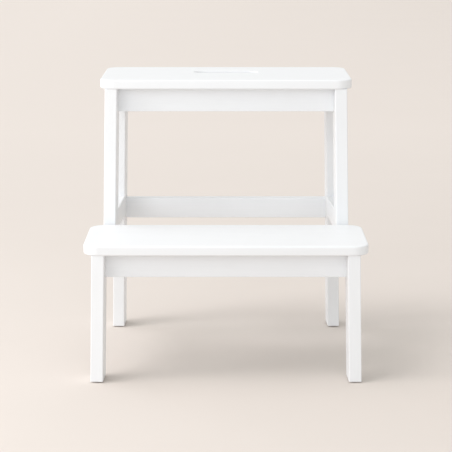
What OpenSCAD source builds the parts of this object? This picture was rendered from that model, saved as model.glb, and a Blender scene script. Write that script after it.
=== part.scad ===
// Two-step wooden stool, painted white
// Two side frames carry the steps. Five cross rails bolt the frames together.
// Millimetres. The origin is on the floor, in the middle of the footprint.
// +Z is up, and -Y is the front, where the bottom step is.

/* [Overall] */
// Floor to the top step's upper face
height = 450; // [430:5:480]
// Front edge of the bottom step to the back of the rear feet
depth = 380; // [376:2:392]
// Outer faces of the front legs, measured at the floor
stance_w = 419; // [410:1:424]
// Inward lean of each side frame, in degrees
lean = 1.3; // [0.6:0.1:1.5]
// How far each side frame turns in towards the back, in degrees
toe_in = 2.15; // [1:0.05:2.4]

/* [Steps] */
// Thickness of both steps
step_t = 15; // [14:0.5:18]
// Width of the top step
top_w = 403; // [396:1:412]
// Depth of the top step
top_d = 200; // [192:2:204]
// Front edge of the bottom step to the front edge of the top step
top_setback = 170; // [168:1:173]
// Width of the bottom step
bottom_w = 436; // [434:2:444]
// Depth of the bottom step
bottom_d = 168; // [162:1:170]
// Floor to the bottom step's upper face
bottom_h = 216; // [206:2:226]
// Corner radius of the steps, seen from above
step_corner_r = 24; // [12:2:30]
// Rounding along the edges of the steps
step_edge_r = 2.5; // [2:0.5:6]

/* [Hand hole] */
// Length of the hand hole
hand_hole_l = 106; // [90:2:120]
// Width of the hand hole
hand_hole_w = 30; // [26:1:36]
// How far the hand hole sits behind the middle of the top step
hand_hole_back = 22; // [0:2:30]
// Rounding of the hand hole's rims
hand_hole_rim_r = 1.5; // [1:0.5:4]

/* [Legs] */
// Thickness of the legs and rails
leg_t = 19.5; // [17:0.5:20]
// Depth of the legs, front to back
leg_d = 42; // [38:1:46]
// How far the steps overhang the leg fronts
leg_setback = 3; // [2:0.5:8]
// Backward slant of the rear legs, in degrees
rear_slant = 2.6; // [1:0.1:3.5]
// Rounding along the edges of the legs and rails
wood_edge_r = 1.5; // [1:0.5:3]

/* [Rails] */
// Height of the rails that carry the steps
rail_h = 38.5; // [38:0.5:42]
// Height of the rear stretcher and the rear side rails
thin_rail_h = 34; // [32:1:36]
// Floor to the upper edge of the rear side rails
rear_rail_top = 234; // [230:1:238]
// Floor to the upper edge of the rear stretcher
stretcher_top = 226; // [222:1:230]
// Gap between the lower back rail and the back edge of the bottom step
back_rail_inset = 7; // [5:1:10]

/* [Fastenings] */
// Diameter of the wooden dowels
dowel_d = 8; // [6:1:8]
// Length of the wooden dowels
dowel_l = 32; // [28:2:34]
// Diameter of the connector bolts' shanks
bolt_d = 6; // [5:0.5:6]
// Length of the connector bolts' shanks
bolt_l = 48; // [46:1:52]
// Diameter of the barrel nuts
barrel_d = 10; // [9:0.5:11]
// Diameter of the step screws' shanks
screw_d = 4; // [3.5:0.5:4.5]
// Length of the step screws, heads included
screw_l = 40; // [36:1:40]
// Thickness of the foot glides' pads
glide_t = 2; // [1:0.5:3]

/* [Hidden] */
$fn = 48;
top_under = height - step_t;
bottom_under = bottom_h - step_t;
top_y = top_setback - depth / 2;
bottom_y = -depth / 2;
middle_leg_y = top_setback + leg_setback;
rear_run = (depth + wood_edge_r * (sin(toe_in) + cos(toe_in) - 1)) / cos(toe_in);
rear_leg_y = rear_run - leg_d / cos(rear_slant) + glide_t * tan(rear_slant);
// Distances along a side frame where its bars meet the legs
front_leg_back = leg_setback + leg_d;
middle_leg_back = middle_leg_y + leg_d;
// Clearances and small sizes of the fastenings
bolt_hole_d = bolt_d + 0.5;
bolt_head_d = 12;
bolt_head_h = 3.5;
bolt_socket_af = 4;
head_recess = 4.5;
head_clearance = 0.5;
barrel_l = 14;
barrel_to_seat = 40;
bolt_tip_room = 2;
screw_head_d = 8;
screw_bite = 11;
screw_bore_d = 9;
screw_tip = 5;
glide_d = 14;
glide_edge_r = 0.8;
glide_stem_d = 6;
glide_stem_l = 10;
dowel_chamfer = 1;
dowel_edge_gap = 8;
stretcher_bolt_up = 11;
far = 600;

// A point on the outer face of the right side frame
function outer_x(y, z) =
    stance_w / 2 - (y + depth / 2) * tan(toe_in) - z * tan(lean) / cos(toe_in);
// Where a distance along the frame's inner face lies, from front to back
function inner_y(run) = run * cos(toe_in) - leg_t * sin(toe_in) - depth / 2;
// The front face of a rear leg, as a distance along the frame
function rear_front(z) = rear_leg_y - z * tan(rear_slant);
function rear_back(z) = rear_front(z) + leg_d / cos(rear_slant);

// Middle of the thickness of each cross rail, from front to back
lower_front_y = inner_y(front_leg_back) - leg_t / 2;
lower_back_y = bottom_y + bottom_d - back_rail_inset - leg_t / 2;
upper_front_y = inner_y(middle_leg_back) - leg_t / 2;
upper_rear_y = inner_y(rear_back(top_under)) - leg_t / 2;
stretcher_y = inner_y(rear_back(stretcher_top)) - leg_t / 2;

// Connector bolts on the right side: y, z and the underside of the rail
BOLTS = [
    [lower_front_y, bottom_under - rail_h / 2, bottom_under - rail_h],
    [lower_back_y, bottom_under - rail_h / 2, bottom_under - rail_h],
    [upper_front_y, top_under - rail_h / 2, top_under - rail_h],
    [upper_rear_y, top_under - rail_h / 2, top_under - rail_h],
    [stretcher_y, stretcher_top - thin_rail_h + stretcher_bolt_up,
        stretcher_top - thin_rail_h],
];
// Locating dowel of the rear stretcher, on the right side: y and z
stretcher_dowel_z = stretcher_top - dowel_edge_gap - 1;

// Joints of the side frames: distance along the frame, lower edge, rail height
JOINTS = [
    [front_leg_back, bottom_under - rail_h, rail_h],
    [middle_leg_y, bottom_under - rail_h, rail_h],
    [middle_leg_back, rear_rail_top - thin_rail_h, thin_rail_h],
    [rear_front(rear_rail_top - thin_rail_h / 2), rear_rail_top - thin_rail_h,
        thin_rail_h],
    [middle_leg_back, top_under - rail_h, rail_h],
    [rear_front(top_under - rail_h / 2), top_under - rail_h, rail_h],
];

// Step screws on the right side: x, y and the height of the rail's upper edge
upper_side_mid_y = inner_y((middle_leg_back + rear_front(top_under)) / 2);
front_side_mid_y = inner_y((front_leg_back + middle_leg_y) / 2);
SCREWS = [
    [bottom_w / 4, lower_front_y, bottom_under],
    [bottom_w / 4, lower_back_y, bottom_under],
    [side_rail_x(front_side_mid_y, bottom_under), front_side_mid_y, bottom_under],
    [top_w / 4, upper_front_y, top_under],
    [top_w / 4, upper_rear_y, top_under],
    [side_rail_x(upper_side_mid_y, top_under), upper_side_mid_y, top_under],
];
function side_rail_x(y, z) = outer_x(y, z - rail_h / 2) - leg_t / 2;

// ---- Placing ----

module on_left() {
    mirror([1, 0, 0]) children();
}

module both_sides() {
    children();
    on_left() children();
}

// From a side frame's own axes to the stool's, for the right-hand frame.
// In the frame, x = 0 is the outer face and y = 0 is the front of the stool.
module in_frame() {
    translate([stance_w / 2, -depth / 2, 0]) rotate([0, -lean, toe_in]) children();
}

// Keeps what lies between two heights
module between(low, high) {
    intersection() {
        children();
        translate([-far, -far, low]) cube([2 * far, 2 * far, high - low]);
    }
}

// ---- Shapes ----

module rounded_rect(w, d, r) {
    translate([r, 0]) square([w - 2 * r, d]);
    translate([0, r]) square([w, d - 2 * r]);
    for (x = [r, w - r], y = [r, d - r]) {
        translate([x, y]) circle(r);
    }
}

// Upright bar from z = 0, with its outer face on x = 0 and its front on y = 0
module upright(length) {
    translate([-leg_t, 0, 0]) linear_extrude(length) rounded_rect(leg_t, leg_d, wood_edge_r);
}

// Level bar along the frame, from one distance to another
module side_bar(from, to, low, h) {
    translate([-leg_t, from, low]) rotate([-90, 0, 0]) mirror([0, 1, 0])
        linear_extrude(to - from) rounded_rect(leg_t, h, wood_edge_r);
}

// Cross bar, cut to meet the inner faces of both side frames
module cross_bar(y, high, h) {
    difference() {
        translate([-far / 2, y - leg_t / 2, high - h]) rotate([90, 0, 90])
            linear_extrude(far) rounded_rect(leg_t, h, wood_edge_r);
        both_sides() in_frame() translate([-leg_t, -far, -far]) cube(3 * far);
    }
}

// Board with round corners and rounded edges, from x = 0, y = 0, z = 0 up
module step_board(w, d) {
    r = step_corner_r;
    for (x = [r, w - r], y = [r, d - r]) {
        translate([x, y, 0]) rotate_extrude() intersection() {
            translate([-r, 0]) rounded_rect(2 * r, step_t, step_edge_r);
            square([r, step_t]);
        }
    }
    translate([r, 0, 0]) rotate([90, 0, 90]) linear_extrude(w - 2 * r)
        rounded_rect(d, step_t, step_edge_r);
    translate([0, d - r, 0]) rotate([90, 0, 0]) linear_extrude(d - 2 * r)
        rounded_rect(w, step_t, step_edge_r);
}

// Half outline of the hand hole, flared at both faces of the step
module hand_hole_profile() {
    r = hand_hole_rim_r;
    reach = hand_hole_w / 2;
    difference() {
        translate([0, -1]) square([reach + r, step_t + 2]);
        translate([reach, r]) square([2 * r, step_t - 2 * r]);
        for (z = [r, step_t - r]) translate([reach + r, z]) circle(r);
    }
}

module hand_hole() {
    run = hand_hole_l - hand_hole_w;
    for (x = [-run / 2, run / 2]) {
        translate([x, 0, 0]) rotate_extrude() hand_hole_profile();
    }
    for (side = [0, 1]) {
        translate([-run / 2, 0, 0]) mirror([0, side, 0]) rotate([90, 0, 90])
            linear_extrude(run) hand_hole_profile();
    }
}

// ---- Fastenings and the holes for them ----

module dowel(extra = 0) {
    l = dowel_l + 2 * extra;
    c = dowel_chamfer;
    translate([0, 0, -l / 2]) rotate_extrude() polygon([
        [0, 0], [dowel_d / 2 - c, 0], [dowel_d / 2, c],
        [dowel_d / 2, l - c], [dowel_d / 2 - c, l], [0, l],
    ]);
}

// All the dowels of the right side, each with a little glue room when drilled
module side_dowels(extra = 0) {
    for (joint = JOINTS, up = [dowel_edge_gap, joint[2] - dowel_edge_gap]) {
        in_frame() translate([-leg_t / 2, joint[0], joint[1] + up]) rotate([90, 0, 0])
            dowel(extra);
    }
    translate([inner_x(stretcher_y, stretcher_dowel_z), stretcher_y, stretcher_dowel_z])
        rotate([0, 90, 0]) dowel_through_face(extra);
}
function inner_x(y, z) = outer_x(y, z) - leg_t / (cos(lean) * cos(toe_in));

// A dowel that goes a third into the leg and two thirds into the rail
module dowel_through_face(extra) {
    translate([0, 0, -dowel_l / 6]) dowel(extra);
}

// Seat of a bolt's head, in the recess of the frame's outer face
function seat_x(bolt) = outer_x(bolt[0], bolt[1]) - head_recess;

// Bolt along -X from the seat of its head
module bolt() {
    rotate([0, -90, 0]) cylinder(d = bolt_d, h = bolt_l);
    rotate([0, 90, 0]) difference() {
        cylinder(d = bolt_head_d, h = bolt_head_h);
        translate([0, 0, 1]) cylinder(d = bolt_socket_af / cos(30), h = bolt_head_h, $fn = 6);
    }
}

module bolt_hole() {
    rotate([0, -90, 0]) cylinder(d = bolt_hole_d, h = bolt_l + bolt_tip_room);
    rotate([0, 90, 0]) cylinder(d = bolt_head_d + 2 * head_clearance, h = 4 * head_recess);
}

module side_bolts() {
    for (b = BOLTS) translate([seat_x(b), b[0], b[1]]) bolt();
}

module side_bolt_holes() {
    for (b = BOLTS) {
        translate([seat_x(b), b[0], b[1]]) bolt_hole();
        translate([seat_x(b) - barrel_to_seat, b[0], b[2] - 1])
            cylinder(d = barrel_d, h = b[1] - b[2] + 1 + barrel_l / 2);
    }
}

module side_barrel_nuts() {
    for (b = BOLTS) translate([seat_x(b) - barrel_to_seat, b[0], b[1]]) difference() {
        translate([0, 0, -barrel_l / 2]) cylinder(d = barrel_d, h = barrel_l);
        rotate([0, 90, 0]) cylinder(d = bolt_d, h = 2 * barrel_d, center = true);
        translate([-barrel_d, -0.6, -barrel_l / 2 - 1]) cube([2 * barrel_d, 1.2, 2.2]);
    }
}

// Countersunk screw, pointing up, with the flat of its head on z = 0
module screw() {
    sink = (screw_head_d - screw_d) / 2;
    difference() {
        rotate_extrude() polygon([
            [0, 0], [screw_head_d / 2, 0], [screw_head_d / 2, 0.4],
            [screw_d / 2, sink + 0.4], [screw_d / 2, screw_l - screw_tip], [0, screw_l],
        ]);
        for (turn = [0, 90]) rotate([0, 0, turn]) translate([-2.2, -0.5, -1]) cube([4.4, 1, 2.6]);
    }
}

// Wide bore for the head, then a hole that fits the screw
module screw_hole() {
    seat = screw_l - screw_bite;
    translate([0, 0, -seat - 20]) cylinder(d = screw_bore_d, h = 20);
    translate([0, 0, -seat]) rotate_extrude() polygon([
        [0, 0], [screw_head_d / 2, 0], [screw_head_d / 2, 0.4],
        [screw_d / 2, (screw_head_d - screw_d) / 2 + 0.4],
        [screw_d / 2, screw_l - screw_tip], [0, screw_l],
    ]);
}

module side_screws() {
    for (s = SCREWS) translate([s[0], s[1], s[2] + screw_bite - screw_l]) screw();
}

module side_screw_holes() {
    for (s = SCREWS) translate([s[0], s[1], s[2]]) screw_hole();
}

// Everything that is drilled in the right-hand half
module side_drilling() {
    side_dowels(0.5);
    side_bolt_holes();
    side_screw_holes();
}

// Middles of the undersides of the legs that stand on the floor
function foot_x(run) = outer_x(run - depth / 2, 0) - leg_t / 2;
FEET = [leg_setback + leg_d / 2, rear_leg_y + leg_d / 2];

module side_glides() {
    for (run = FEET) translate([foot_x(run), run * cos(toe_in) - depth / 2, 0]) {
        rotate_extrude() intersection() {
            translate([-glide_d / 2, 0])
                rounded_rect(glide_d, 2 * glide_t, glide_edge_r);
            square([glide_d / 2, glide_t]);
        }
        cylinder(d = glide_stem_d, h = glide_t + glide_stem_l);
    }
}

// ---- Pieces of the right-hand side frame ----

module front_leg() {
    difference() {
        between(glide_t, bottom_under) in_frame() translate([0, leg_setback, -5])
            upright(bottom_h);
        side_drilling();
        side_glides();
    }
}

module middle_leg() {
    difference() {
        between(bottom_under - rail_h, top_under) in_frame() translate([0, middle_leg_y, 0])
            upright(height);
        side_drilling();
    }
}

module rear_leg() {
    difference() {
        between(glide_t, top_under) in_frame() translate([0, rear_leg_y, 0])
            rotate([rear_slant, 0, 0]) translate([0, 0, -5]) upright(height + 5);
        side_drilling();
        side_glides();
    }
}

// What lies behind the front face of the rear leg
module behind_rear_leg() {
    translate([-far, rear_leg_y, 0]) rotate([rear_slant, 0, 0]) translate([0, 0, -far])
        cube([2 * far, far, 2 * far]);
}

module front_side_rail() {
    difference() {
        between(bottom_under - rail_h, bottom_under) in_frame()
            side_bar(front_leg_back, middle_leg_y, bottom_under - rail_h - 0.1, rail_h + 0.5);
        side_drilling();
    }
}

module rear_side_rail() {
    difference() {
        in_frame() difference() {
            side_bar(middle_leg_back, rear_leg_y, rear_rail_top - thin_rail_h, thin_rail_h);
            behind_rear_leg();
        }
        side_drilling();
    }
}

module upper_side_rail() {
    difference() {
        between(top_under - rail_h, top_under) in_frame() difference() {
            side_bar(middle_leg_back, rear_leg_y, top_under - rail_h - 0.1, rail_h + 0.5);
            behind_rear_leg();
        }
        side_drilling();
    }
}

// ---- Cross rails and steps ----

module cross_rail(y, high, h) {
    difference() {
        cross_bar(y, high, h);
        both_sides() side_drilling();
    }
}

module top_step() {
    color("white") difference() {
        translate([-top_w / 2, top_y, top_under]) step_board(top_w, top_d);
        translate([0, top_y + top_d / 2 + hand_hole_back, top_under]) hand_hole();
        both_sides() side_screw_holes();
    }
}

module bottom_step() {
    color("white") difference() {
        translate([-bottom_w / 2, bottom_y, bottom_under]) step_board(bottom_w, bottom_d);
        both_sides() side_screw_holes();
    }
}

module right_front_leg() {
    color("white") front_leg();
}

module left_front_leg() {
    color("white") on_left() front_leg();
}

module right_middle_leg() {
    color("white") middle_leg();
}

module left_middle_leg() {
    color("white") on_left() middle_leg();
}

module right_rear_leg() {
    color("white") rear_leg();
}

module left_rear_leg() {
    color("white") on_left() rear_leg();
}

module right_front_side_rail() {
    color("white") front_side_rail();
}

module left_front_side_rail() {
    color("white") on_left() front_side_rail();
}

module right_rear_side_rail() {
    color("white") rear_side_rail();
}

module left_rear_side_rail() {
    color("white") on_left() rear_side_rail();
}

module right_upper_side_rail() {
    color("white") upper_side_rail();
}

module left_upper_side_rail() {
    color("white") on_left() upper_side_rail();
}

module lower_front_apron() {
    color("white") cross_rail(lower_front_y, bottom_under, rail_h);
}

module lower_back_rail() {
    color("white") cross_rail(lower_back_y, bottom_under, rail_h);
}

module upper_front_apron() {
    color("white") cross_rail(upper_front_y, top_under, rail_h);
}

module upper_rear_apron() {
    color("white") cross_rail(upper_rear_y, top_under, rail_h);
}

module rear_stretcher() {
    color("white") cross_rail(stretcher_y, stretcher_top, thin_rail_h);
}

module dowels() {
    color("burlywood") both_sides() side_dowels();
}

module connector_bolts() {
    color("silver") both_sides() side_bolts();
}

module barrel_nuts() {
    color("silver") both_sides() side_barrel_nuts();
}

module step_screws() {
    color("gold") both_sides() side_screws();
}

module foot_glides() {
    color("gainsboro") both_sides() side_glides();
}

top_step();
bottom_step();
left_front_leg();
right_front_leg();
left_middle_leg();
right_middle_leg();
left_rear_leg();
right_rear_leg();
left_front_side_rail();
right_front_side_rail();
left_rear_side_rail();
right_rear_side_rail();
left_upper_side_rail();
right_upper_side_rail();
lower_front_apron();
lower_back_rail();
upper_front_apron();
upper_rear_apron();
rear_stretcher();
dowels();
connector_bolts();
barrel_nuts();
step_screws();
foot_glides();
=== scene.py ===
"""Step stool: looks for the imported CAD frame. Metres, +Z up, -Y is the front."""

import math

import bmesh
import bpy
import numpy as np
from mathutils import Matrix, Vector


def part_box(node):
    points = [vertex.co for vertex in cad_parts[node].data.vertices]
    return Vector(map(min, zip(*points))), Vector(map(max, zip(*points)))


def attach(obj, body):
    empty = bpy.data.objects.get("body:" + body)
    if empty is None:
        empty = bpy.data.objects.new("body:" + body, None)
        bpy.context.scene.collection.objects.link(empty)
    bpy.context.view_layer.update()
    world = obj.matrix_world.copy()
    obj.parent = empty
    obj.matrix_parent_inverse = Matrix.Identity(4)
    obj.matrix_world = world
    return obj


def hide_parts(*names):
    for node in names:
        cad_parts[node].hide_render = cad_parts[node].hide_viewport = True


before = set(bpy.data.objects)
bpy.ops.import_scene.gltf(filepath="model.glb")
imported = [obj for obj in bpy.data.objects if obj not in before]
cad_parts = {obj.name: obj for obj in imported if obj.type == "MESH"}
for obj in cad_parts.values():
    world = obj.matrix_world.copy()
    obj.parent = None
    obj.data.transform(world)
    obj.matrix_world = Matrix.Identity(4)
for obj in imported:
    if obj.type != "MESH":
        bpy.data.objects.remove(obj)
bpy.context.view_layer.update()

BODY = "root"
MM = 0.001

# The side frames lean in and turn in; the rear legs slant. Radians.
LEAN = math.radians(1.3)
TOE_IN = math.radians(2.15)
SLANT = math.radians(2.6)

# The turn of a board whose length already lies along X
ALONG_X = (0.0, 0.0, 0.0)


# ---- Nodes ----

EDGE_SAMPLES = 6
# The Mix node has a set of sockets for each type of data. These carry colours.
COLOUR_A, COLOUR_B, COLOUR_MIXED = 6, 7, 2


class Tree:
    """Short calls for building a material's nodes."""

    def __init__(self, name):
        self.material = bpy.data.materials.new(name)
        self.material.use_nodes = True
        self.nodes = self.material.node_tree.nodes
        self.links = self.material.node_tree.links
        self.nodes.clear()

    def add(self, kind, inputs=None, **settings):
        """A new node, with its inputs linked or set."""
        node = self.nodes.new("ShaderNode" + kind)
        for key, value in settings.items():
            setattr(node, key, value)
        for key, value in (inputs or {}).items():
            self.put(node.inputs[key], value)
        return node

    def put(self, socket, value):
        """Link another node's output to a socket, or set a constant on it."""
        if isinstance(value, bpy.types.NodeSocket):
            self.links.new(value, socket)
        else:
            socket.default_value = value

    def math(self, operation, a, b=0.0, clamp=False):
        node = self.add("Math", operation=operation, use_clamp=clamp)
        self.put(node.inputs[0], a)
        self.put(node.inputs[1], b)
        return node.outputs[0]

    def mix(self, factor, a, b):
        """Colour a where the factor is 0, and colour b where it is 1."""
        node = self.add("Mix", data_type="RGBA")
        self.put(node.inputs["Factor"], factor)
        self.put(node.inputs[COLOUR_A], a)
        self.put(node.inputs[COLOUR_B], b)
        return node.outputs[COLOUR_MIXED]

    def spread(self, value, low, high, to_low=0.0, to_high=1.0):
        """The range from low to high, stretched onto the other one and clamped there."""
        node = self.add("MapRange", clamp=True)
        for key, number in zip(
            ("From Min", "From Max", "To Min", "To Max"), (low, high, to_low, to_high)
        ):
            node.inputs[key].default_value = number
        self.put(node.inputs["Value"], value)
        return node.outputs["Result"]

    def place(self, vector, turn=(0, 0, 0), scale=(1, 1, 1), shift=(0, 0, 0)):
        """A point scaled, then turned, then shifted."""
        node = self.add("Mapping", vector_type="POINT")
        self.put(node.inputs["Vector"], vector)
        node.inputs["Location"].default_value = shift
        node.inputs["Rotation"].default_value = turn
        node.inputs["Scale"].default_value = scale
        return node.outputs["Vector"]

    def noise(self, vector, size, detail=2.0, rough=0.5, distort=0.0):
        """Noise whose blobs are about size metres across."""
        node = self.add("TexNoise", noise_dimensions="3D")
        self.put(node.inputs["Vector"], vector)
        node.inputs["Scale"].default_value = 1.0 / size
        node.inputs["Detail"].default_value = detail
        node.inputs["Roughness"].default_value = rough
        node.inputs["Distortion"].default_value = distort
        return node.outputs["Fac"]

    def object_point(self):
        """Where the surface is, in metres."""
        return self.add("TexCoord").outputs["Object"]

    def edge_mask(self, radius, gain):
        """Nearly 0 on flat faces, rising to 1 on the rounded edges."""
        bevel = self.add("Bevel", samples=EDGE_SAMPLES)
        bevel.inputs["Radius"].default_value = radius
        normal = self.add("NewGeometry").outputs["Normal"]
        dot = self.add("VectorMath", operation="DOT_PRODUCT")
        self.put(dot.inputs[0], bevel.outputs["Normal"])
        self.put(dot.inputs[1], normal)
        away = self.math("SUBTRACT", 1.0, dot.outputs["Value"])
        return self.math("MULTIPLY", away, gain, clamp=True)

    def finish(self, inputs):
        """The material, with one shader whose inputs are linked or set."""
        shader = self.add("BsdfPrincipled", inputs)
        out = self.add("OutputMaterial")
        self.links.new(shader.outputs["BSDF"], out.inputs["Surface"])
        return self.material


# ---- Materials ----

PAINT_LIGHT = (0.858, 0.868, 0.882, 1)
PAINT_DEEP = (0.832, 0.841, 0.853, 1)
PAINT_WORN = (0.800, 0.780, 0.745, 1)
# The size across of each pattern in the paint
LINES = 2.2 * MM
FIGURE = 17 * MM
CLOUD = 70 * MM
PEEL = 1.6 * MM
PATCHES = 9 * MM
# Scale along the board: the smaller it is, the longer the grain
LINES_LONG = 0.028
FIGURE_LONG = 0.09
# The height of each pattern in the surface
LINES_HIGH = 0.022 * MM
FIGURE_HIGH = 0.06 * MM
PEEL_HIGH = 0.007 * MM
# How far from an edge the paint looks worn
WORN_EDGE = 2.2 * MM


def white_paint(name, turn, seed):
    """Sprayed satin paint on solid wood, with the grain just showing through."""
    t = Tree(name)
    here = t.object_point()
    board = t.place(here, turn=turn, shift=(seed * 1.37, seed * 0.71, seed * 0.29))
    lines = t.noise(t.place(board, scale=(LINES_LONG, 1, 1)), LINES, 3, 0.6)
    figure = t.noise(t.place(board, scale=(FIGURE_LONG, 1, 1)), FIGURE, 2, 0.5, 0.4)
    cloud = t.noise(board, CLOUD, 2, 0.5)
    peel = t.noise(board, PEEL, 1, 0.4)
    patches = t.noise(board, PATCHES, 3, 0.6)
    grain = t.math("ADD", t.math("MULTIPLY", lines, 0.6), t.math("MULTIPLY", figure, 0.4))
    edge = t.edge_mask(WORN_EDGE, 5.0)
    worn = t.math("MULTIPLY", edge, t.spread(patches, 0.45, 0.68, 0.0, 0.35))
    grain_tone = t.spread(grain, 0.35, 0.65, 0.0, 0.6)
    tone = t.math("ADD", grain_tone, t.spread(cloud, 0.3, 0.7, 0.0, 0.4))
    colour = t.mix(tone, PAINT_LIGHT, PAINT_DEEP)
    colour = t.mix(worn, colour, PAINT_WORN)
    gloss = t.spread(cloud, 0.3, 0.7, 0.33, 0.41)
    gloss = t.math("ADD", gloss, t.spread(lines, 0.3, 0.7, 0.0, 0.05))
    gloss = t.math("SUBTRACT", gloss, t.math("MULTIPLY", edge, 0.05))
    height = t.math("MULTIPLY", lines, LINES_HIGH)
    height = t.math("ADD", height, t.math("MULTIPLY", figure, FIGURE_HIGH))
    height = t.math("ADD", height, t.math("MULTIPLY", peel, PEEL_HIGH))
    bump = t.add("Bump", {"Height": height, "Distance": 1.0, "Strength": 0.8})
    return t.finish(
        {
            "Base Color": colour,
            "Roughness": gloss,
            "Normal": bump.outputs["Normal"],
            "IOR": 1.5,
            "Specular IOR Level": 0.5,
        }
    )


BEECH_LIGHT = (0.62, 0.43, 0.25, 1)
BEECH_DEEP = (0.47, 0.29, 0.15, 1)
BEECH_FLECK = (0.26, 0.14, 0.07, 1)


def beech(name):
    """Bare turned beech, with short dark flecks."""
    t = Tree(name)
    here = t.object_point()
    fibre = t.noise(t.place(here, scale=(0.25, 1, 1)), 0.9 * MM, 3, 0.6)
    flecks = t.noise(t.place(here, scale=(0.5, 1, 1)), 0.7 * MM, 1, 0.5)
    colour = t.mix(t.spread(fibre, 0.3, 0.7), BEECH_LIGHT, BEECH_DEEP)
    colour = t.mix(t.spread(flecks, 0.62, 0.72, 0.0, 0.6), colour, BEECH_FLECK)
    bump = t.add("Bump", {"Height": fibre, "Distance": 0.06 * MM, "Strength": 0.8})
    return t.finish(
        {
            "Base Color": colour,
            "Roughness": t.spread(fibre, 0.3, 0.7, 0.55, 0.72),
            "Normal": bump.outputs["Normal"],
        }
    )


def plated_steel(name, light, dark, size):
    """Zinc plating: a fine crystal mottle of the size given, dulled here and there."""
    t = Tree(name)
    here = t.object_point()
    mottle = t.noise(here, size, 4, 0.65)
    dull = t.noise(here, size * 6, 2, 0.5)
    scratch = t.noise(t.place(here, scale=(1, 1, 0.15)), size * 0.5, 2, 0.5)
    edge = t.edge_mask(0.4 * MM, 4.0)
    colour = t.mix(t.spread(mottle, 0.3, 0.7), light, dark)
    colour = t.mix(t.math("MULTIPLY", edge, 0.5), colour, light)
    rough = t.spread(dull, 0.3, 0.7, 0.22, 0.36)
    rough = t.math("ADD", rough, t.spread(mottle, 0.3, 0.7, 0.0, 0.1))
    bump = t.add("Bump", {"Height": scratch, "Distance": 0.03 * MM, "Strength": 0.6})
    return t.finish(
        {
            "Base Color": colour,
            "Metallic": 1.0,
            "Roughness": rough,
            "Normal": bump.outputs["Normal"],
        }
    )


PLASTIC_LIGHT = (0.72, 0.715, 0.69, 1)
PLASTIC_DEEP = (0.66, 0.65, 0.62, 1)
PLASTIC_SCUFFED = (0.52, 0.51, 0.49, 1)


def moulded_plastic(name):
    """Matt moulded plastic with a fine spark texture, scuffed on the edge."""
    t = Tree(name)
    here = t.object_point()
    spark = t.noise(here, 0.5 * MM, 2, 0.6)
    cloud = t.noise(here, 6 * MM, 2, 0.5)
    edge = t.edge_mask(0.6 * MM, 4.0)
    colour = t.mix(t.spread(cloud, 0.3, 0.7), PLASTIC_LIGHT, PLASTIC_DEEP)
    colour = t.mix(t.math("MULTIPLY", edge, 0.4), colour, PLASTIC_SCUFFED)
    bump = t.add("Bump", {"Height": spark, "Distance": 0.05 * MM, "Strength": 0.7})
    return t.finish(
        {
            "Base Color": colour,
            "Roughness": t.spread(spark, 0.3, 0.7, 0.45, 0.62),
            "Normal": bump.outputs["Normal"],
        }
    )


# ---- Boards ----

# Points closer than this are one point
WELD = 0.002 * MM
# Faces this near to one plane are one face
FLAT = math.radians(0.3)
# A fold steeper than this is eased on a board, and is a crease on a lofted fitting
SHARP = math.radians(28)
# The width of the ease on a board and on a nut
ARRIS = 0.5 * MM
NUT_ARRIS = 0.25 * MM
FACE_WEIGHT = 100


def eased(node, name, arris, material):
    """A CAD node as one clean skin, with every cut edge eased."""
    bm = bmesh.new()
    bm.from_mesh(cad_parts[node].data)
    bmesh.ops.remove_doubles(bm, verts=bm.verts, dist=WELD)
    bmesh.ops.dissolve_degenerate(bm, edges=bm.edges, dist=WELD)
    bmesh.ops.dissolve_limit(
        bm, angle_limit=FLAT, use_dissolve_boundaries=False, verts=bm.verts, edges=bm.edges
    )
    bmesh.ops.recalc_face_normals(bm, faces=bm.faces)
    sharp = [e for e in bm.edges if len(e.link_faces) == 2 and e.calc_face_angle() > SHARP]
    bmesh.ops.bevel(
        bm,
        geom=sharp,
        offset=arris,
        offset_type="OFFSET",
        segments=2,
        profile=0.5,
        affect="EDGES",
        clamp_overlap=True,
    )
    bmesh.ops.remove_doubles(bm, verts=bm.verts, dist=WELD)
    bmesh.ops.dissolve_degenerate(bm, edges=bm.edges, dist=WELD)
    for face in bm.faces:
        face.smooth = True
    mesh = bpy.data.meshes.new(name)
    bm.to_mesh(mesh)
    bm.free()
    mesh.materials.append(material)
    piece = bpy.data.objects.new(name, mesh)
    bpy.context.scene.collection.objects.link(piece)
    shade = piece.modifiers.new("shade", "WEIGHTED_NORMAL")
    shade.mode = "FACE_AREA"
    shade.weight = FACE_WEIGHT
    shade.keep_sharp = True
    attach(piece, BODY)
    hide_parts(node)


def grain_turns():
    """The turn that lays each board's length on X, by node."""
    turns = {
        n: ALONG_X
        for n in (
            "top_step",
            "bottom_step",
            "lower_front_apron",
            "lower_back_rail",
            "upper_front_apron",
            "upper_rear_apron",
            "rear_stretcher",
        )
    }
    for side, sign in (("left", -1), ("right", 1)):
        upright = (0.0, math.pi / 2 + sign * LEAN, 0.0)
        level = (0.0, 0.0, -math.pi / 2 - sign * TOE_IN)
        turns[side + "_front_leg"] = upright
        turns[side + "_middle_leg"] = upright
        turns[side + "_rear_leg"] = (SLANT, math.pi / 2 + sign * LEAN, 0.0)
        for rail in ("front", "rear", "upper"):
            turns[f"{side}_{rail}_side_rail"] = level
    return turns


for seed, (node, turn) in enumerate(sorted(grain_turns().items()), 1):
    eased(node, node + "_board", ARRIS, white_paint("paint_" + node, turn, seed))


# ---- Fastenings ----


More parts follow.
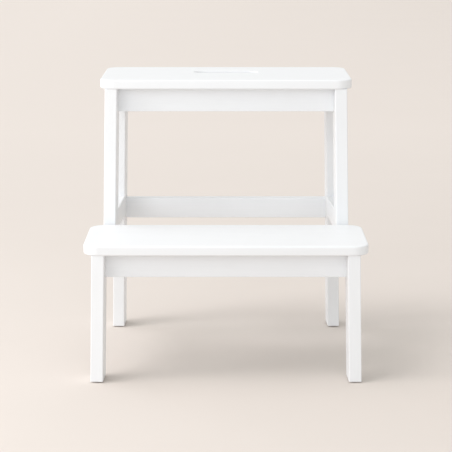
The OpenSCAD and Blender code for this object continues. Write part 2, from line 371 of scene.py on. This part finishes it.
def solids(node):
    """Each separate solid of a CAD node, as an array of its points."""
    bm = bmesh.new()
    bm.from_mesh(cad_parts[node].data)
    bmesh.ops.remove_doubles(bm, verts=bm.verts, dist=WELD)
    found, seen = [], set()
    for start in bm.verts:
        if start.index in seen:
            continue
        todo, points = [start], []
        seen.add(start.index)
        while todo:
            vert = todo.pop()
            points.append(tuple(vert.co))
            for edge in vert.link_edges:
                other = edge.other_vert(vert)
                if other.index not in seen:
                    seen.add(other.index)
                    todo.append(other)
        found.append(np.array(points))
    bm.free()
    return found


def along(points, axis):
    """How far each point lies along an axis through the middle, and its distance from it."""
    middle = (points.min(0) + points.max(0)) / 2
    reach = (points - middle) @ axis
    off = np.linalg.norm(points - middle - np.outer(reach, axis), axis=1)
    return middle, reach, off


def long_axis(points):
    """The way a solid is longest, pointing right, back or up."""
    spread = points - points.mean(0)
    axis = np.linalg.eigh(spread.T @ spread)[1][:, -1]
    return axis * (1 if axis[np.abs(axis).argmax()] > 0 else -1)


def loft(bm, rings, steps, start, axis):
    """A closed skin through rings.

    Each ring is a height along the axis, and a radius or a function from angle to radius.
    """
    turn = Vector(axis).to_track_quat("Z", "Y")
    angles = [2 * math.pi * i / steps for i in range(steps)]
    rows = []
    for height, radius in rings:
        sizes = [radius(a) if callable(radius) else radius for a in angles]
        rows.append(
            [
                bm.verts.new(
                    Vector(start) + turn @ Vector((r * math.cos(a), r * math.sin(a), height))
                )
                for a, r in zip(angles, sizes)
            ]
        )
    for lower, upper in zip(rows, rows[1:]):
        for i in range(steps):
            j = (i + 1) % steps
            bm.faces.new((lower[i], lower[j], upper[j], upper[i]))
    for row, height in ((rows[0], rings[0][0]), (rows[-1], rings[-1][0])):
        hub = bm.verts.new(Vector(start) + turn @ Vector((0, 0, height)))
        for i in range(steps):
            bm.faces.new((row[i], row[(i + 1) % steps], hub))


# How finely a thread is drawn, and the width of a screw's point as a share of the screw's
RINGS_PER_TURN = 6
POINT = 0.04


def thread(low, high, crest, root, pitch, taper=0.0):
    """Rings of a screw thread, from the height low to the height high.

    With a taper, that much of it next to high narrows to a point.
    """
    count = int(round((high - low) / pitch * RINGS_PER_TURN))
    rings = []
    for k in range(count + 1):
        z = low + (high - low) * k / count
        shrink = min(1.0, max(POINT, (high - z) / taper)) if taper else 1.0
        start = min(1.0, (z - low) / pitch)

        def radius(angle, z=z, shrink=shrink, start=start):
            wave = abs(((z / pitch - angle / (2 * math.pi)) % 1.0) * 2 - 1)
            return (crest - (crest - root) * wave * start) * shrink

        rings.append((z, radius))
    return rings


def hexagon(flats):
    """Outline of a hexagonal socket, from its size across the flats."""
    return lambda angle: flats / 2 / math.cos(angle % (math.pi / 3) - math.pi / 6)


def cross(arm, half):
    """Outline of a cross-head recess."""

    def radius(angle):
        c, s = max(abs(math.cos(angle)), 1e-6), max(abs(math.sin(angle)), 1e-6)
        return max(min(arm / c, half / s), min(arm / s, half / c))

    return radius


def bolt_rings(length, wide):
    """Flat-headed connector bolt: its tip is at 0, and the socket in its head at the far end."""
    shank, root, pitch = 3.0 * MM, 2.45 * MM, 1.0 * MM
    head, bore, socket = 3.5 * MM, 2.5 * MM, 4.0 * MM
    seat, top = length - head, length
    rings = [(0.0, 1.9 * MM), (0.7 * MM, root)]
    rings += thread(0.8 * MM, 24 * MM, shank, root, pitch)
    rings += [
        (24.6 * MM, shank),
        (seat - 0.3 * MM, shank),
        (seat, shank + 0.25 * MM),
        (seat, wide - 0.3 * MM),
        (seat + 0.25 * MM, wide),
        (top - 0.9 * MM, wide),
        (top - 0.45 * MM, wide - 0.12 * MM),
        (top - 0.15 * MM, wide - 0.42 * MM),
        (top, wide - 0.9 * MM),
        (top, hexagon(4.7 * MM)),
        (top - 0.35 * MM, hexagon(socket)),
        (top - bore, hexagon(socket)),
        (top - bore - 0.5 * MM, hexagon(1.6 * MM)),
    ]
    return rings


def screw_rings(length, wide):
    """Countersunk wood screw pointing along the axis, with a cross recess in its head at 0."""
    shank, root, pitch = 2.0 * MM, 1.3 * MM, 1.8 * MM
    head, plain, tip = 2.4 * MM, 13.5 * MM, 6 * MM
    rings = [
        (1.9 * MM, cross(0.7 * MM, 0.3 * MM)),
        (1.5 * MM, cross(1.3 * MM, 0.38 * MM)),
        (0.0, cross(2.2 * MM, 0.55 * MM)),
        (0.0, wide - 0.2 * MM),
        (0.12 * MM, wide),
        (0.4 * MM, wide),
        (head, shank),
        (plain, shank),
    ]
    return rings + thread(14 * MM, length - 0.2 * MM, shank, root, pitch, taper=tip)


def dowel_rings(length, wide):
    """Fluted dowel with chamfered ends."""
    flutes, depth = 16, 0.35 * MM
    ease, bend, bend_in = 1.0 * MM, 0.35 * MM, 0.62 * MM

    def fluted(angle):
        return wide - depth * (0.5 + 0.5 * math.cos(flutes * angle)) ** 2

    return [
        (0.0, wide - ease),
        (bend, wide - bend_in),
        (ease, fluted),
        (length / 2, fluted),
        (length - ease, fluted),
        (length - bend, wide - bend_in),
        (length, wide - ease),
    ]


def glide_rings(length, wide):
    """Nail-in glide: a rounded pad with a gate mark under it, and a barbed stem."""
    pad, crest, root, barbs, gap = 2.0 * MM, 3.0 * MM, 2.6 * MM, 4, 2.0 * MM
    rings = [
        (0.25 * MM, 0.7 * MM),
        (0.2 * MM, 1.0 * MM),
        (0.0, 1.25 * MM),
        (0.0, wide - 1.1 * MM),
        (0.08 * MM, wide - 0.62 * MM),
        (0.3 * MM, wide - 0.22 * MM),
        (0.65 * MM, wide),
        (1.75 * MM, wide),
        (pad, wide - 0.25 * MM),
        (pad, 3.4 * MM),
        (pad + 0.3 * MM, crest),
    ]
    for barb in range(barbs):
        foot = 3.6 * MM + gap * barb
        rings += [(foot, crest), (foot + 0.2 * MM, root), (foot + 0.9 * MM, root)]
    return rings + [(length - 0.7 * MM, root), (length, 2.0 * MM)]


def fitting(node, rings_of, steps, material, head_far=False, pointing=None):
    """One piece that stands for every solid of a CAD node, each lofted along its own axis."""
    bm = bmesh.new()
    for points in solids(node):
        axis = np.array(pointing) if pointing else long_axis(points)
        middle, reach, off = along(points, axis)
        if head_far and reach[off.argmax()] < 0:
            axis, reach = -axis, -reach
        start = middle + axis * reach.min()
        loft(bm, rings_of(float(np.ptp(reach)), float(off.max())), steps, start, axis)
    bmesh.ops.recalc_face_normals(bm, faces=bm.faces)
    for face in bm.faces:
        face.smooth = True
    for edge in bm.edges:
        edge.smooth = len(edge.link_faces) == 2 and edge.calc_face_angle() < SHARP
    mesh = bpy.data.meshes.new(node + "_set")
    bm.to_mesh(mesh)
    bm.free()
    mesh.materials.append(material)
    piece = bpy.data.objects.new(node + "_set", mesh)
    bpy.context.scene.collection.objects.link(piece)
    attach(piece, BODY)
    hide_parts(node)


ZINC = ((0.66, 0.67, 0.68, 1), (0.52, 0.54, 0.56, 1))
YELLOW_ZINC = ((0.74, 0.60, 0.30, 1), (0.58, 0.47, 0.27, 1))
# Points round a ring: more for the fluted dowels and the wide glides
FINE, FINER = 48, 64
UP = (0, 0, 1)

bare_beech = beech("beech")
zinc = plated_steel("zinc", *ZINC, 1.1 * MM)
yellow_zinc = plated_steel("yellow_zinc", *YELLOW_ZINC, 0.9 * MM)
plastic = moulded_plastic("glide")
zinc_nuts = plated_steel("zinc_nuts", *ZINC, 1.3 * MM)

fitting("dowels", dowel_rings, FINER, bare_beech)
fitting("connector_bolts", bolt_rings, FINE, zinc, head_far=True)
fitting("step_screws", screw_rings, FINE, yellow_zinc, pointing=UP)
fitting("foot_glides", glide_rings, FINER, plastic, pointing=UP)
eased("barrel_nuts", "barrel_nuts_set", NUT_ARRIS, zinc_nuts)


# ---- Floor, light and camera ----

FLOOR_REACH = 40
MOTTLE = 0.35
# Painted light: the floor is painted lighter evenly over this distance behind the stool, and then
# no more
PAINTED_LIGHT_BY = 2.5
PAINTED_LIGHT_BACK = 0.75
# Painted light: it is also painted lighter by this much for each metre to the left, and less to
# the right, like light falling off from the left
PAINTED_LIGHT_LEFT = 0.26
FLOOR_NEAR = (0.710, 0.650, 0.604, 1)
FLOOR_MOTTLE = (0.698, 0.639, 0.593, 1)
# The floor colour where the painted light is fullest
FLOOR_PAINTED_LIT = (0.803, 0.736, 0.686, 1)


def floor():
    """A wide plain sheet, pale beige, with a faint mottle and painted light that makes it lighter
    towards the back and the left.
    """
    bm = bmesh.new()
    bmesh.ops.create_grid(bm, x_segments=8, y_segments=8, size=FLOOR_REACH)
    mesh = bpy.data.meshes.new("floor")
    bm.to_mesh(mesh)
    bm.free()
    sheet = bpy.data.objects.new("floor", mesh)
    bpy.context.scene.collection.objects.link(sheet)
    t = Tree("floor_paper")
    here = t.object_point()
    mottle = t.noise(here, MOTTLE, 2, 0.5)
    axes = t.add("SeparateXYZ", {"Vector": here})
    # Painted light: lighter to the back and to the left
    back = t.spread(axes.outputs["Y"], 0.0, PAINTED_LIGHT_BY, 0.0, PAINTED_LIGHT_BACK)
    left = t.math("MULTIPLY", axes.outputs["X"], -PAINTED_LIGHT_LEFT)
    painted_light_mask = t.math("ADD", back, left, clamp=True)
    colour = t.mix(t.spread(mottle, 0.3, 0.7), FLOOR_NEAR, FLOOR_MOTTLE)
    colour = t.mix(painted_light_mask, colour, FLOOR_PAINTED_LIT)
    mesh.materials.append(
        t.finish({"Base Color": colour, "Roughness": 0.9, "Specular IOR Level": 0.1})
    )


# Where the softboxes point, and how far off a sun's own marker stands
AIM = Vector((0, 0, 0.2))
SUN_AWAY = 3


def out_towards(azimuth, elevation):
    """Unit vector to a light. Azimuth 0 is in front of the stool, and 90 on its right. Degrees."""
    a, e = math.radians(azimuth), math.radians(elevation)
    return Vector((math.sin(a) * math.cos(e), -math.cos(a) * math.cos(e), math.sin(e)))


def put_lamp(name, data, place, away):
    """A lamp that shines back along the direction away."""
    lamp = bpy.data.objects.new(name, data)
    lamp.location = place
    lamp.rotation_euler = away.to_track_quat("Z", "Y").to_euler()
    bpy.context.scene.collection.objects.link(lamp)


def sun(name, azimuth, elevation, softness, strength, colour=(1, 1, 1)):
    """Parallel light. Its softness is the angle it fills, in degrees."""
    data = bpy.data.lights.new(name, "SUN")
    data.energy = strength
    data.angle = math.radians(softness)
    data.color = colour
    away = out_towards(azimuth, elevation)
    put_lamp(name, data, away * SUN_AWAY, away)


def softbox(name, azimuth, elevation, distance, size, power):
    """A round area light that faces the stool from that side. Metres and watts."""
    data = bpy.data.lights.new(name, "AREA")
    data.shape = "DISK"
    data.size = size
    data.energy = power
    away = out_towards(azimuth, elevation)
    put_lamp(name, data, AIM + away * distance, away)


COOL = (0.90, 1.0, 1.12)
WARM = (1.08, 0.98, 0.98)

floor()
sun("key", -60, 58, 22, 0.43)
sun("high_left", -90, 65, 40, 0.45, WARM)
sun("side_left", -120, 15, 40, 0.45, COOL)
sun("front_left", -30, 15, 40, 0.20, COOL)
sun("front", 0, 15, 40, 0.31, COOL)
softbox("near_left", -75, 22, 2.0, 0.9, 9.5)
softbox("near_front", -45, 20, 1.6, 0.8, 2.3)

ROOM_LIGHT = 0.760
ROOM_COLOUR = (0.99, 1, 0.98, 1)

world = bpy.data.worlds.new("studio")
world.use_nodes = True
backdrop = world.node_tree.nodes["Background"]
backdrop.inputs["Color"].default_value = ROOM_COLOUR
backdrop.inputs["Strength"].default_value = ROOM_LIGHT
bpy.context.scene.world = world

# The camera's distance from the front edge of the bottom step, its height and its tilt
CAMERA_BACK = 2.4397
CAMERA_UP = 0.7417
CAMERA_DOWN = math.radians(11.443)
LENS = 131.19
SENSOR = 36

camera_data = bpy.data.cameras.new("camera")
camera_data.lens = LENS
camera_data.sensor_width = SENSOR
camera_data.dof.use_dof = False
camera = bpy.data.objects.new("camera", camera_data)
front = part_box("bottom_step")[0].y
camera.location = (0, front - CAMERA_BACK, CAMERA_UP)
camera.rotation_euler = (math.pi / 2 - CAMERA_DOWN, 0, 0)
bpy.context.scene.collection.objects.link(camera)
bpy.context.scene.camera = camera

bpy.context.scene.view_settings.view_transform = "Standard"
